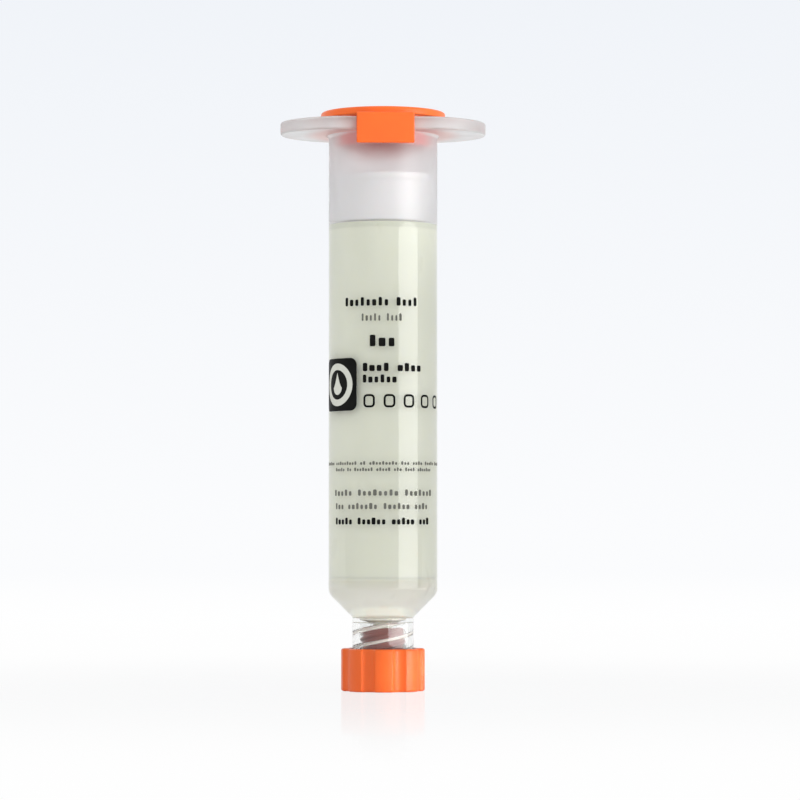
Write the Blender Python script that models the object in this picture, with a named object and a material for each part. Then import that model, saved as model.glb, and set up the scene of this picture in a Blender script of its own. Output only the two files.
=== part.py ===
"""Flux syringe in metres, +Z up: a clear dispensing barrel of paste that stands on its tip cap.

The origin is the middle of the tip cap's underside. The finger flange's wings point along X,
and the end cap's clips grip the flats of the flange at +Y and -Y.
"""

import math

import bmesh
import bpy

# Clearances between pieces
SEAT_GAP = 0.0003
WIPER_GAP = 0.00015
PLUG_GAP = 0.0002
BEAD_GAP = 0.00025
PASTE_GAP = 0.00025

# Luer tip, a six percent taper on the diameter, and its orifice
TIP_END_RADIUS = 0.001975
TIP_TAPER = 0.03
TIP_BEYOND_COLLAR = 0.0021
ORIFICE_RADIUS = 0.0011
TIP_EDGE = 0.00025

# Locking collar and its internal double-start thread
COLLAR_WALL = 0.00115
COLLAR_HEIGHT = 0.00806
CEILING_WALL = 0.0008
COLLAR_EDGE = 0.0002
THREAD_HEIGHT = 0.0005
THREAD_LEAD = 0.005
THREAD_STARTS = 2
THREAD_RIDGE = 0.0017
THREAD_FADE = 0.0009
THREAD_CROSSING = 0.0067
THREAD_ROWS = 26

# Tip cap, its skirt, stem and socket
CAP_WALL = 0.0016
CAP_HEIGHT = 0.0072
CAP_FLOOR = 0.0015
CAP_EDGE = 0.00035
CAP_FLUTES = 8
FLUTE_DEPTH = 0.00075
FLUTE_HALF_WIDTH = 0.00118
LOBE_CROWN = 0.00022
FLUTE_TURN = math.radians(21.7)
COLLAR_IN_CAP = 0.0028
STEM_WALL = 0.00072
STEM_HEADROOM = 0.00096
STEM_EDGE = 0.0003

# Barrel
BARREL_RADIUS = 0.00925
BARREL_WALL = 0.0013
BARREL_HEIGHT = 0.08414
SHOULDER_RADIUS = 0.0022
CONE_SLOPE = math.radians(45.0)
FLOOR_SLOPE = math.radians(14.0)
FLOOR_WALL = 0.0008
FLOOR_RADIUS = 0.0042
THROAT_HEIGHT = 0.0019
MOUTH_CHAMFER = 0.0004

# Finger flange, an ellipse that two flats cut
FLANGE_WING = 0.00825
FLANGE_SHELF = 0.00125
FLANGE_BULGE = 0.0017
FLANGE_THICKNESS = 0.0022
FLANGE_EDGE = 0.0004
FLANGE_FILLET = 0.0006

# Wiper piston
PISTON_HEADROOM = 0.0046
PISTON_HEIGHT = 0.0083
PISTON_WALL = 0.0011
PISTON_FLOOR = 0.0014
LIP_HEIGHT = 0.0012
LIP_LEAD = 0.0004
WAIST_DEPTH = 0.0003
NOSE_STEP = 0.0006
NOSE_DEPTH = 0.0034
NOSE_RADIUS = 0.0028

# End cap
DISC_OVERHANG = 0.00135
DISC_THICKNESS = 0.0012
DISC_EDGE = 0.0004
RING_WIDTH = 0.00155
RING_HEIGHT = 0.0002
PLUG_DEPTH = 0.0043
PLUG_WALL = 0.0011
PLUG_CHAMFER = 0.0006
CLIP_WIDTH = 0.0097
CLIP_WALL = 0.00065
CLIP_RISE = 0.0004
CLIP_REACH = 0.0024
CLIP_EDGE = 0.0002
BEAD_HEIGHT = 0.0008
BEAD_DEPTH = 0.0002

# Facets round each piece and on each rounded edge
WING_COLUMNS = 14
FLAT_COLUMNS = 12
ROUND_COLUMNS = 44
CORNER_STEPS = 3
EDGE_SHARE = 0.3

# Heights that follow from the sizes above
COLLAR_Z = CAP_HEIGHT - COLLAR_IN_CAP
TIP_Z = COLLAR_Z - TIP_BEYOND_COLLAR
NECK_Z = COLLAR_Z + COLLAR_HEIGHT
CEILING_Z = NECK_Z - CEILING_WALL
FLOOR_Z = CEILING_Z + FLOOR_WALL
STEM_Z = CEILING_Z - STEM_HEADROOM
FLANGE_TOP_Z = NECK_Z + BARREL_HEIGHT
FLANGE_BOTTOM_Z = FLANGE_TOP_Z - FLANGE_THICKNESS
PLUG_Z = FLANGE_TOP_Z - PLUG_DEPTH
PISTON_TOP_Z = PLUG_Z - PISTON_HEADROOM
PISTON_Z = PISTON_TOP_Z - PISTON_HEIGHT
PASTE_Z = PISTON_Z - SEAT_GAP
RING_Z = FLANGE_TOP_Z + SEAT_GAP
DISC_Z = RING_Z + RING_HEIGHT
DISC_TOP_Z = DISC_Z + DISC_THICKNESS

# Radii and reaches that follow from the sizes above
SOCKET_RADIUS = TIP_END_RADIUS + TIP_TAPER * (STEM_Z - TIP_Z) + SEAT_GAP
STEM_RADIUS = SOCKET_RADIUS + STEM_WALL
THREAD_RADIUS = STEM_RADIUS + SEAT_GAP + THREAD_HEIGHT
COLLAR_RADIUS = THREAD_RADIUS + COLLAR_WALL
POCKET_RADIUS = COLLAR_RADIUS + SEAT_GAP
CAP_RADIUS = POCKET_RADIUS + CAP_WALL
BORE_RADIUS = BARREL_RADIUS - BARREL_WALL
LIP_RADIUS = BORE_RADIUS - WIPER_GAP
PLUG_RADIUS = BORE_RADIUS - PLUG_GAP
FLANGE_REACH = BARREL_RADIUS + FLANGE_WING
FLANGE_FLAT = BARREL_RADIUS + FLANGE_SHELF
FLANGE_BREADTH = FLANGE_FLAT + FLANGE_BULGE
DISC_RADIUS = BARREL_RADIUS + DISC_OVERHANG
RING_RADIUS = PLUG_RADIUS + RING_WIDTH


def tip_radius(height):
    """Outer radius of the luer tip, which widens upwards from its end."""
    return TIP_END_RADIUS + TIP_TAPER * (height - TIP_Z)


def even_angles(count):
    return [2 * math.pi * i / count for i in range(count)]


def flange_angles():
    """Columns that meet the four corners where the flats cut the ellipse."""
    corner_x = FLANGE_REACH * math.sqrt(1 - (FLANGE_FLAT / FLANGE_BREADTH) ** 2)
    corner = math.atan2(FLANGE_FLAT, corner_x)
    spans = (
        (-corner, corner, WING_COLUMNS),
        (corner, math.pi - corner, FLAT_COLUMNS),
        (math.pi - corner, math.pi + corner, WING_COLUMNS),
        (math.pi + corner, 2 * math.pi - corner, FLAT_COLUMNS),
    )
    return [
        start + (end - start) * i / count
        for start, end, count in spans
        for i in range(count)
    ]


def flute_angles():
    """Columns at each flute's middle, flanks and edges, and on the lobe beside it."""
    pitch = 2 * math.pi / CAP_FLUTES
    edge = FLUTE_HALF_WIDTH / CAP_RADIUS
    between = (edge + pitch / 2) / 2
    steps = (-between, -edge, -edge / 2, 0.0, edge / 2, edge, between, pitch / 2)
    return [
        FLUTE_TURN - math.pi / 2 + pitch * flute + step
        for flute in range(CAP_FLUTES)
        for step in steps
    ]


def flange_outline(inset):
    """Distance of the flange's rim from the axis at an angle, brought in by the inset."""

    def radius(angle):
        across = FLANGE_BREADTH * math.cos(angle)
        along = FLANGE_REACH * math.sin(angle)
        ellipse = FLANGE_REACH * FLANGE_BREADTH / math.hypot(across, along)
        flat = FLANGE_FLAT / max(abs(math.sin(angle)), 1e-6)
        return min(ellipse, flat) - inset

    return radius


def fluted_outline(inset):
    """Radius of the tip cap at an angle: crowned lobes with a narrow round flute between them."""
    pitch = 2 * math.pi / CAP_FLUTES
    edge = FLUTE_HALF_WIDTH / CAP_RADIUS

    def radius(angle):
        from_flute = (angle - FLUTE_TURN + math.pi / 2) / pitch
        from_flute = abs(from_flute - round(from_flute)) * pitch
        crown = LOBE_CROWN * math.cos(math.pi * from_flute / pitch) ** 2
        inside = min(from_flute / edge, 1.0)
        flute = (FLUTE_DEPTH - LOBE_CROWN) * math.cos(math.pi / 2 * inside) ** 2
        return CAP_RADIUS - crown - flute - inset

    return radius


def thread_outline(height):
    """Radius of the collar's inner wall at an angle: ridges that climb by the lead in one turn."""
    pitch = THREAD_LEAD / THREAD_STARTS
    from_ends = min(height - COLLAR_Z, CEILING_Z - height)
    fade = min(max(from_ends / THREAD_FADE, 0.0), 1.0)

    def radius(angle):
        climb = THREAD_LEAD * (angle + math.pi / 2) / (2 * math.pi)
        from_ridge = (height - COLLAR_Z - THREAD_CROSSING - climb) / pitch
        from_ridge = abs(from_ridge - round(from_ridge)) * pitch
        inside = min(2 * from_ridge / THREAD_RIDGE, 1.0)
        ridge = 0.5 + 0.5 * math.cos(math.pi * inside)
        return THREAD_RADIUS - THREAD_HEIGHT * fade * ridge

    return radius


def rounded_corner(corner, size, start, end):
    """Points of a quarter round about a corner's centre, from one direction to the other."""
    radius, height = corner
    turns = (start + (end - start) * i / CORNER_STEPS for i in range(CORNER_STEPS + 1))
    return [
        (radius + size * math.cos(turn), height + size * math.sin(turn))
        for turn in turns
    ]


def plain_material(name, colour, roughness, transmission=0.0):
    material = bpy.data.materials.new(name)
    material.use_nodes = True
    shader = material.node_tree.nodes["Principled BSDF"]
    shader.inputs["Base Color"].default_value = (*colour, 1.0)
    shader.inputs["Roughness"].default_value = roughness
    shader.inputs["Metallic"].default_value = 0.0
    shader.inputs["Transmission Weight"].default_value = transmission
    return material


def finished_object(name, mesh_data, material):
    """Writes the bmesh to a named object, smooth but for its sharp edges."""
    bmesh.ops.recalc_face_normals(mesh_data, faces=mesh_data.faces)
    mesh = bpy.data.meshes.new(name)
    mesh_data.to_mesh(mesh)
    mesh_data.free()
    mesh.materials.append(material)
    mesh.shade_smooth()
    mesh.set_sharp_from_angle(angle=math.radians(35.0))
    piece = bpy.data.objects.new(name, mesh)
    bpy.context.collection.objects.link(piece)
    return piece


def carried_round(profile, angles, closed=False):
    """Carries a profile of (radius, height) points round +Z. A radius may depend on the angle."""
    mesh_data = bmesh.new()
    rings = []
    for radius, height in profile:
        if radius == 0:
            rings.append([mesh_data.verts.new((0, 0, height))])
            continue
        reach = radius if callable(radius) else lambda angle, same=radius: same
        rings.append(
            [
                mesh_data.verts.new(
                    (reach(turn) * math.cos(turn), reach(turn) * math.sin(turn), height)
                )
                for turn in angles
            ]
        )
    neighbours = list(zip(rings, rings[1:]))
    if closed:
        neighbours.append((rings[-1], rings[0]))
    for first, second in neighbours:
        for i in range(len(angles)):
            j = (i + 1) % len(angles)
            corners = []
            for ring, column in ((first, i), (first, j), (second, j), (second, i)):
                corner = ring[column % len(ring)]
                if corner not in corners:
                    corners.append(corner)
            mesh_data.faces.new(corners)
    return mesh_data


def barrel_profile():
    """Down the outside from the flange, round the collar and the tip, and up the bore."""
    shoulder = rounded_corner(
        (BARREL_RADIUS - SHOULDER_RADIUS, shoulder_height()),
        SHOULDER_RADIUS,
        0.0,
        -CONE_SLOPE,
    )
    root = rounded_corner(
        (BARREL_RADIUS + FLANGE_FILLET, FLANGE_BOTTOM_Z - FLANGE_FILLET),
        FLANGE_FILLET,
        math.pi / 2,
        math.pi,
    )
    flange = [
        (flange_outline(FLANGE_EDGE), FLANGE_TOP_Z),
        (flange_outline(FLANGE_EDGE * EDGE_SHARE), FLANGE_TOP_Z - FLANGE_EDGE * EDGE_SHARE),
        (flange_outline(0.0), FLANGE_TOP_Z - FLANGE_EDGE),
        (flange_outline(0.0), FLANGE_BOTTOM_Z + FLANGE_EDGE),
        (
            flange_outline(FLANGE_EDGE * EDGE_SHARE),
            FLANGE_BOTTOM_Z + FLANGE_EDGE * EDGE_SHARE,
        ),
        (flange_outline(FLANGE_EDGE), FLANGE_BOTTOM_Z),
    ]
    collar = [
        (COLLAR_RADIUS, NECK_Z),
        (COLLAR_RADIUS, COLLAR_Z + COLLAR_EDGE),
        (COLLAR_RADIUS - COLLAR_EDGE, COLLAR_Z),
    ]
    thread = [
        (thread_outline(height), height)
        for height in (
            COLLAR_Z + (CEILING_Z - COLLAR_Z) * row / THREAD_ROWS
            for row in range(THREAD_ROWS + 1)
        )
    ]
    tip = [
        (tip_radius(CEILING_Z), CEILING_Z),
        (tip_radius(TIP_Z + TIP_EDGE), TIP_Z + TIP_EDGE),
        (TIP_END_RADIUS - TIP_EDGE, TIP_Z),
        (ORIFICE_RADIUS, TIP_Z),
    ]
    bore = [
        (ORIFICE_RADIUS, FLOOR_Z),
        (FLOOR_RADIUS, floor_rim_height()),
        (FLOOR_RADIUS, throat_top_height()),
        (BORE_RADIUS, cone_top_height()),
        (BORE_RADIUS, FLANGE_TOP_Z - MOUTH_CHAMFER),
        (BORE_RADIUS + MOUTH_CHAMFER, FLANGE_TOP_Z),
    ]
    return flange + root + shoulder + collar + thread + tip + bore


def shoulder_height():
    """Where the outer wall starts to curve in, so that the cone meets the collar at the neck."""
    drop = math.tan(CONE_SLOPE)
    arc_radius = BARREL_RADIUS - SHOULDER_RADIUS * (1 - math.cos(CONE_SLOPE))
    arc_drop = SHOULDER_RADIUS * math.sin(CONE_SLOPE)
    return NECK_Z + (arc_radius - COLLAR_RADIUS) * drop + arc_drop


def floor_rim_height():
    """Where the shallow floor round the orifice meets the throat's wall."""
    return FLOOR_Z + math.tan(FLOOR_SLOPE) * (FLOOR_RADIUS - ORIFICE_RADIUS)


def throat_top_height():
    """Where the throat above the floor opens into the inner cone."""
    return floor_rim_height() + THROAT_HEIGHT


def cone_top_height():
    """Where the inner cone meets the bore."""
    return throat_top_height() + (BORE_RADIUS - FLOOR_RADIUS) * math.tan(CONE_SLOPE)


def make_barrel():
    clear = plain_material("clear_polypropylene", (0.88, 0.89, 0.86), 0.2, 0.9)
    mesh_data = carried_round(barrel_profile(), flange_angles(), closed=True)
    return finished_object("barrel", mesh_data, clear)


def make_tip_cap():
    orange = plain_material("orange_tip_cap", (0.9, 0.14, 0.02), 0.35)
    socket_end = tip_radius(TIP_Z) + SEAT_GAP
    profile = [
        (0, 0.0),
        (fluted_outline(CAP_EDGE), 0.0),
        (fluted_outline(CAP_EDGE * EDGE_SHARE), CAP_EDGE * EDGE_SHARE),
        (fluted_outline(0.0), CAP_EDGE),
        (fluted_outline(0.0), CAP_HEIGHT - CAP_EDGE),
        (fluted_outline(CAP_EDGE * EDGE_SHARE), CAP_HEIGHT - CAP_EDGE * EDGE_SHARE),
        (fluted_outline(CAP_EDGE), CAP_HEIGHT),
        (POCKET_RADIUS, CAP_HEIGHT),
        (POCKET_RADIUS, CAP_FLOOR),
        (STEM_RADIUS, CAP_FLOOR),
        (STEM_RADIUS, STEM_Z - STEM_EDGE),
        (STEM_RADIUS - STEM_EDGE, STEM_Z),
        (SOCKET_RADIUS, STEM_Z),
        (socket_end, TIP_Z),
        (socket_end - TIP_EDGE, TIP_Z - SEAT_GAP),
        (0, TIP_Z - SEAT_GAP),
    ]
    return finished_object("tip_cap", carried_round(profile, flute_angles()), orange)


def nose_profile():
    """The piston's nose from its rim to its flat end, a quarter of an ellipse cut short."""
    rim = LIP_RADIUS - NOSE_STEP
    shares = [step / CORNER_STEPS for step in range(CORNER_STEPS + 1)]
    return [
        (
            rim + (NOSE_RADIUS - rim) * share,
            PISTON_Z - NOSE_DEPTH * math.sin(share * math.pi / 2),
        )
        for share in shares
    ]


def make_piston():
    white = plain_material("white_piston", (0.86, 0.85, 0.84), 0.4)
    waist = LIP_RADIUS - WAIST_DEPTH
    cup = waist - PISTON_WALL
    profile = [
        (0, PISTON_Z + PISTON_FLOOR),
        (cup, PISTON_Z + PISTON_FLOOR),
        (cup, PISTON_TOP_Z - LIP_HEIGHT),
        (cup + WAIST_DEPTH, PISTON_TOP_Z),
        (LIP_RADIUS - LIP_LEAD / 2, PISTON_TOP_Z),
        (LIP_RADIUS, PISTON_TOP_Z - LIP_LEAD),
        (LIP_RADIUS, PISTON_TOP_Z - LIP_HEIGHT),
        (waist, PISTON_TOP_Z - LIP_HEIGHT - LIP_LEAD),
        (waist, PISTON_Z + LIP_HEIGHT + LIP_LEAD),
        (LIP_RADIUS, PISTON_Z + LIP_HEIGHT),
        (LIP_RADIUS, PISTON_Z + LIP_LEAD),
        (LIP_RADIUS - LIP_LEAD / 2, PISTON_Z),
        *nose_profile(),
        (0, PISTON_Z - NOSE_DEPTH),
    ]
    mesh_data = carried_round(profile, even_angles(ROUND_COLUMNS))
    return finished_object("piston", mesh_data, white)


def make_flux():
    """The paste: hollowed on top by the piston's nose, and narrowing to a thread in the tip."""
    paste = plain_material("flux_paste", (0.62, 0.63, 0.5), 0.35)
    side = BORE_RADIUS - PASTE_GAP
    thread = ORIFICE_RADIUS - PASTE_GAP
    corner_lift = PASTE_GAP * math.tan(CONE_SLOPE / 2)
    hollow = [(radius + PASTE_GAP, height - SEAT_GAP) for radius, height in nose_profile()]
    profile = [
        (0, PISTON_Z - NOSE_DEPTH - SEAT_GAP),
        *reversed(hollow),
        (side, PASTE_Z),
        (side, cone_top_height() + corner_lift),
        (FLOOR_RADIUS - PASTE_GAP, throat_top_height() + corner_lift),
        (FLOOR_RADIUS - PASTE_GAP, floor_rim_height() + PASTE_GAP),
        (thread, FLOOR_Z + PASTE_GAP),
        (thread, TIP_Z + PASTE_GAP),
        (0, TIP_Z + PASTE_GAP),
    ]
    mesh_data = carried_round(profile, even_angles(ROUND_COLUMNS))
    return finished_object("flux", mesh_data, paste)


def clip_outline():
    """Section of a clip, as (distance from the axis, height) points."""
    inner = FLANGE_FLAT + BEAD_GAP
    recess = inner + BEAD_DEPTH
    outer = recess + CLIP_WALL
    foot = FLANGE_BOTTOM_Z - CLIP_REACH
    head = DISC_Z + CLIP_RISE
    bridge = (RING_Z + DISC_Z) / 2
    root = RING_RADIUS - CLIP_EDGE
    shoulder = rounded_corner(
        (outer - DISC_EDGE, head - DISC_EDGE), DISC_EDGE, math.pi / 2, 0.0
    )
    return [
        (root, head),
        *shoulder,
        (outer, foot + CLIP_EDGE),
        (outer - CLIP_EDGE, foot),
        (inner + CLIP_EDGE, foot),
        (inner, foot + CLIP_EDGE),
        (inner, foot + BEAD_HEIGHT),
        (recess, foot + BEAD_HEIGHT + BEAD_DEPTH),
        (recess, bridge),
        (root, bridge),
    ]


def clip_block(side):
    """A clip as a plate of its own width, at +Y for side 1 and at -Y for side -1."""
    mesh_data = bmesh.new()
    section = [
        mesh_data.verts.new((-CLIP_WIDTH / 2, side * reach, height))
        for reach, height in clip_outline()
    ]
    face = mesh_data.faces.new(section)
    grown = bmesh.ops.extrude_face_region(mesh_data, geom=[face])["geom"]
    moved = [item for item in grown if isinstance(item, bmesh.types.BMVert)]
    bmesh.ops.translate(mesh_data, verts=moved, vec=(CLIP_WIDTH, 0, 0))
    return mesh_data


def add_union(piece, other):
    """Joins another object to the piece, and keeps that object as a hidden guide."""
    other.hide_render = True
    other.display_type = "WIRE"
    union = piece.modifiers.new(other.name, "BOOLEAN")
    union.operation = "UNION"
    union.solver = "EXACT"
    union.object = other


def make_end_cap():
    orange = plain_material("orange_end_cap", (0.92, 0.16, 0.02), 0.4)
    rim = rounded_corner(
        (DISC_RADIUS - DISC_EDGE, DISC_TOP_Z - DISC_EDGE), DISC_EDGE, math.pi / 2, 0.0
    )
    profile = [
        (0, DISC_TOP_Z),
        *rim,
        (DISC_RADIUS, DISC_Z + DISC_EDGE / 2),
        (DISC_RADIUS - DISC_EDGE / 2, DISC_Z),
        (RING_RADIUS, DISC_Z),
        (RING_RADIUS, RING_Z),
        (PLUG_RADIUS, RING_Z),
        (PLUG_RADIUS, PLUG_Z + PLUG_CHAMFER),
        (PLUG_RADIUS - PLUG_CHAMFER, PLUG_Z),
        (PLUG_RADIUS - PLUG_WALL, PLUG_Z),
        (PLUG_RADIUS - PLUG_WALL, DISC_Z),
        (0, DISC_Z),
    ]
    mesh_data = carried_round(profile, even_angles(ROUND_COLUMNS))
    end_cap = finished_object("end_cap", mesh_data, orange)
    for name, side in (("front_clip_guide", -1), ("back_clip_guide", 1)):
        add_union(end_cap, finished_object(name, clip_block(side), orange))
    return end_cap


def main():
    for leftover in list(bpy.data.objects):
        bpy.data.objects.remove(leftover, do_unlink=True)
    make_tip_cap()
    make_barrel()
    make_flux()
    make_piston()
    make_end_cap()


main()
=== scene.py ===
"""Looks of the flux syringe: a clear dispensing barrel of paste that stands on its orange tip cap.

Metres, +Z up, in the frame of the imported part. The finger flange's wings point along X, and the
end cap's clips lie at +Y and -Y. Each piece is a surface of two parameters on a grid.
"""

import math

import bpy
import numpy as np
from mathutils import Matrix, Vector


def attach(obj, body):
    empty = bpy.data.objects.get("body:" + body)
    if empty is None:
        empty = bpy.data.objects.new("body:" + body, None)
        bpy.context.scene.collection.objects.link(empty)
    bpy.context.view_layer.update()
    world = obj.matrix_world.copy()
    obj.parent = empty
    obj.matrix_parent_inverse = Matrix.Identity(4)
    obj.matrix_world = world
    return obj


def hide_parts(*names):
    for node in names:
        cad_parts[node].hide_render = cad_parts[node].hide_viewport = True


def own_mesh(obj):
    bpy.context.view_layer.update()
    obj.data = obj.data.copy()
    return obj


# Ink on the barrel
INK_UNDER = 0.000004
INK_THICKNESS = 0.000018
INK_STEP = 0.00003

# The paste wets the wall: it overlaps the bore by this much, so that no air shows between
WETTED = 0.00003

# Clearances that the drawn pieces keep, and how near a point counts as lying on a wall
SEAT_GAP = 0.0003
PASTE_SEAT = 0.0001
NOSE_GAP = 0.00015
BEAD_GAP = 0.00025
SLACK = 0.0001

# Heights of the standing syringe
TIP_Z = 0.0023
COLLAR_Z = 0.0044
CAP_HEIGHT = 0.0072
STEM_Z = 0.0107
CEILING_Z = 0.01166
NECK_Z = 0.01246
PISTON_Z = 0.0794
PISTON_STROKE = 0.06
SLEEVE_Z = 0.0192
FROST_Z = 0.0791
PISTON_TOP_Z = 0.0877
PLUG_Z = 0.0923
FLANGE_BOTTOM_Z = 0.0944
FLANGE_TOP_Z = 0.0966
RING_Z = 0.0969
DISC_Z = 0.0971
DISC_TOP_Z = 0.0983

# Luer tip, collar and thread. Faces whose ridge stands above the milky highlight share of its
# height are milky, and painted a lighter cream as a highlight on the crest
TIP_END_RADIUS = 0.001975
TIP_TAPER = 0.03
ORIFICE_RADIUS = 0.0011
SOCKET_RADIUS = 0.002527
STEM_RADIUS = 0.00345
THREAD_RADIUS = 0.004047
COLLAR_RADIUS = 0.005197
POCKET_RADIUS = 0.005497
THREAD_LEAD = 0.005
THREAD_STARTS = 2
RIDGE_HEIGHT = 0.0005
RIDGE_CREST = 0.00024
RIDGE_ROOT = 0.00066
RIDGE_FADE = 0.0005
RIDGE_CROSSING = 0.0111
LUG_HEIGHT = 0.0004
MILKY_HIGHLIGHT_RIDGE = 0.5

# Tip cap
CAP_RADIUS = 0.007097
CAP_FLOOR = 0.0015
CAP_FLUTES = 8
LUG_ROWS = 70
FLUTE_DEPTH = 0.00075
FLUTE_HALF_WIDTH = 0.00118
LOBE_CROWN = 0.00022
FLUTE_TURN = math.radians(21.7)
FLUTE_BLEND = 0.00004
SKIRT_FROM = POCKET_RADIUS + 0.0009
SKIRT_BLEND = 0.0002
CAP_EDGE = 0.00035

# Barrel
BARREL_RADIUS = 0.00925
BORE_RADIUS = 0.00795
CONE_SLOPE = math.radians(45.0)
FLOOR_Z = 0.01246
FLOOR_RADIUS = 0.0042
WELL_RADIUS = 0.0026
WELL_Z = 0.01205
WELL_FALL = 0.0005
FLOOR_RIM_Z = 0.013233
THROAT_Z = 0.015133
FLANGE_REACH = 0.0175
FLANGE_FLAT = 0.0105
FLANGE_BREADTH = 0.0122
RIM_MARK = 0.0125
RIM_CORNER = 0.0006
RIM_BLEND = 0.0005
THREAD_ROWS = 130
BARREL_COLUMNS = 240
PASTE_COLUMNS = 200

# Piston and end cap
LIP_RADIUS = 0.0078
NOSE_RIM = LIP_RADIUS - 0.0006
NOSE_RADIUS = 0.0028
NOSE_DEPTH = 0.0034
WAIST_RADIUS = LIP_RADIUS - 0.0003
CUP_RADIUS = WAIST_RADIUS - 0.0011
CUP_FLOOR_Z = PISTON_Z + 0.0014
LIP_TALL = 0.0012
PISTON_COLUMNS = 160
PLUG_RADIUS = 0.00775
PLUG_WALL = 0.0011
RING_RADIUS = 0.0093
DISC_RADIUS = 0.0106
DISC_COLUMNS = 192
CLIP_WIDTH = 0.0097
CLIP_FOOT_Z = 0.0920
CLIP_BRIDGE_Z = 0.0968
CLIP_HEAD_Z = 0.0972
CLIP_INNER = FLANGE_FLAT + BEAD_GAP
CLIP_RECESS = 0.01095
CLIP_OUTER = 0.0116
CLIP_EDGE = 0.00025

# Where the camera stands: the photograph's own viewing angle
CAMERA_TURN = math.radians(-2.1)
CAMERA_DISTANCE = 0.58
EYE_Z = 0.0265
METRES_PER_PIXEL = 0.00017
PICTURE_SIDE = 800
AXIS_COLUMN = 383.0
GROUND_ROW = 690.3
SENSOR_WIDTH = 36.0

# Strength of the diffuse studio light behind and in front, and how bright the front looks in gloss
BACK_LIGHT = 0.64
FRONT_LIGHT = 1.34
GLOSS_FRONT = 0.2

# Colours of the background high up and at the horizon, and the floor's reflection and shadow
SKY = (0.875, 0.902, 0.945)
HORIZON = (0.965, 0.972, 0.986)
FLOOR_MIRROR = 0.17
FLOOR_SHADOW = 0.05
FLOOR_SIDE = 80.0

# How far the moulded grain stands up
GRAIN_DEPTH = 0.00002


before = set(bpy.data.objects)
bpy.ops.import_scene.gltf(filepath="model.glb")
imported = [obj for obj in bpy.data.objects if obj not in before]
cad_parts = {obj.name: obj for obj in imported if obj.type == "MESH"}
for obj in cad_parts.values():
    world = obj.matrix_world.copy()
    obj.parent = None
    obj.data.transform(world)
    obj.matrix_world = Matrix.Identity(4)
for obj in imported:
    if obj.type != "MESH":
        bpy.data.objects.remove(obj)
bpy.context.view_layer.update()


# Shapes


def filleted(corners, steps=6, closed=False):
    """A path of (radius, height) points that rounds each corner of a polygon.

    The arc at a corner has its centre on the corner's bisector, fillet / sin(half the corner)
    away. Its points turn evenly from the one tangent spoke to the other, as
    (sin((1 - t) turn) * spoke0 + sin(t turn) * spoke1) / sin(turn). A point just before the arc
    and one just after it keep the straight runs flat. An open path keeps its two ends.
    """
    corners = np.asarray(corners, float)
    place, fillet = corners[:, :2], corners[:, 2:3]
    before = np.roll(place, 1, axis=0) - place
    after = np.roll(place, -1, axis=0) - place
    before_length = np.linalg.norm(before, axis=1, keepdims=True)
    after_length = np.linalg.norm(after, axis=1, keepdims=True)
    before = before / before_length
    after = after / after_length
    half = np.arccos(np.clip((before * after).sum(1, keepdims=True), -1, 1)) / 2
    reach = fillet / np.tan(half)
    bisector = before + after
    bisector = bisector / np.linalg.norm(bisector, axis=1, keepdims=True)
    centre = place + bisector * fillet / np.sin(half)
    spoke0 = place + before * reach - centre
    spoke1 = place + after * reach - centre
    turn = (math.pi - 2 * half)[:, :, None]
    t = np.linspace(0, 1, steps + 1)[None, :, None]
    arcs = (
        np.sin((1 - t) * turn) * spoke0[:, None] + np.sin(t * turn) * spoke1[:, None]
    ) / np.sin(turn)
    arcs = arcs + centre[:, None]
    lead_in = place + before * (reach + 0.1 * np.minimum(fillet, before_length - reach))
    lead_out = place + after * (reach + 0.1 * np.minimum(fillet, after_length - reach))
    arcs = np.concatenate((lead_in[:, None], arcs, lead_out[:, None]), axis=1)
    if closed:
        return arcs.reshape(-1, 2)
    return np.concatenate((place[:1], arcs[1:-1].reshape(-1, 2), place[-1:]))


def running_length(path):
    """How far along a path each of its points lies."""
    return np.concatenate(([0.0], np.cumsum(np.linalg.norm(np.diff(path, axis=0), axis=1))))


def read_path(path, run, place):
    """Points of a path at running lengths."""
    return np.stack([np.interp(place, run, column) for column in path.T], axis=1)


def with_rows_between(path, radius, low, high, count):
    """The path with evenly spaced extra points on its upright run at a radius, between two
    heights."""
    run = running_length(path)
    on_wall = np.abs(path[:, 0] - radius) < 0.6 * SLACK
    wanted = on_wall & (path[:, 1] > low) & (path[:, 1] < high)
    extra = np.linspace(run[wanted].min(), run[wanted].max(), count)[1:-1]
    return read_path(path, run, np.union1d(run, extra))


def with_rows_at(path, height):
    """The path with a point on every straight run that crosses a height."""
    before, after = path[:-1, 1] - height, path[1:, 1] - height
    crossed = np.flatnonzero(before * after < 0)
    share = (before[crossed] / (before - after)[crossed])[:, None]
    return np.insert(path, crossed + 1, path[crossed] * (1 - share) + path[crossed + 1] * share, 0)


def even_turn(columns):
    """Angles of a whole turn, evenly spaced."""
    return np.linspace(0, 2 * math.pi, columns, endpoint=False)


def turned(radius, height, angle):
    """Points (radius * cos(angle), radius * sin(angle), height) on a grid of rows and columns.
    A radius may be one number for each row, or one for each row and column."""
    radius = np.asarray(radius, float)
    if radius.ndim == 1:
        radius = radius[:, None] * np.ones(len(angle))
    height = np.broadcast_to(np.asarray(height, float)[:, None], radius.shape)
    return np.stack((radius * np.cos(angle), radius * np.sin(angle), height), axis=-1)


def put(name, data):
    """A new object in the scene."""
    thing = bpy.data.objects.new(name, data)
    bpy.context.scene.collection.objects.link(thing)
    return thing


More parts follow.
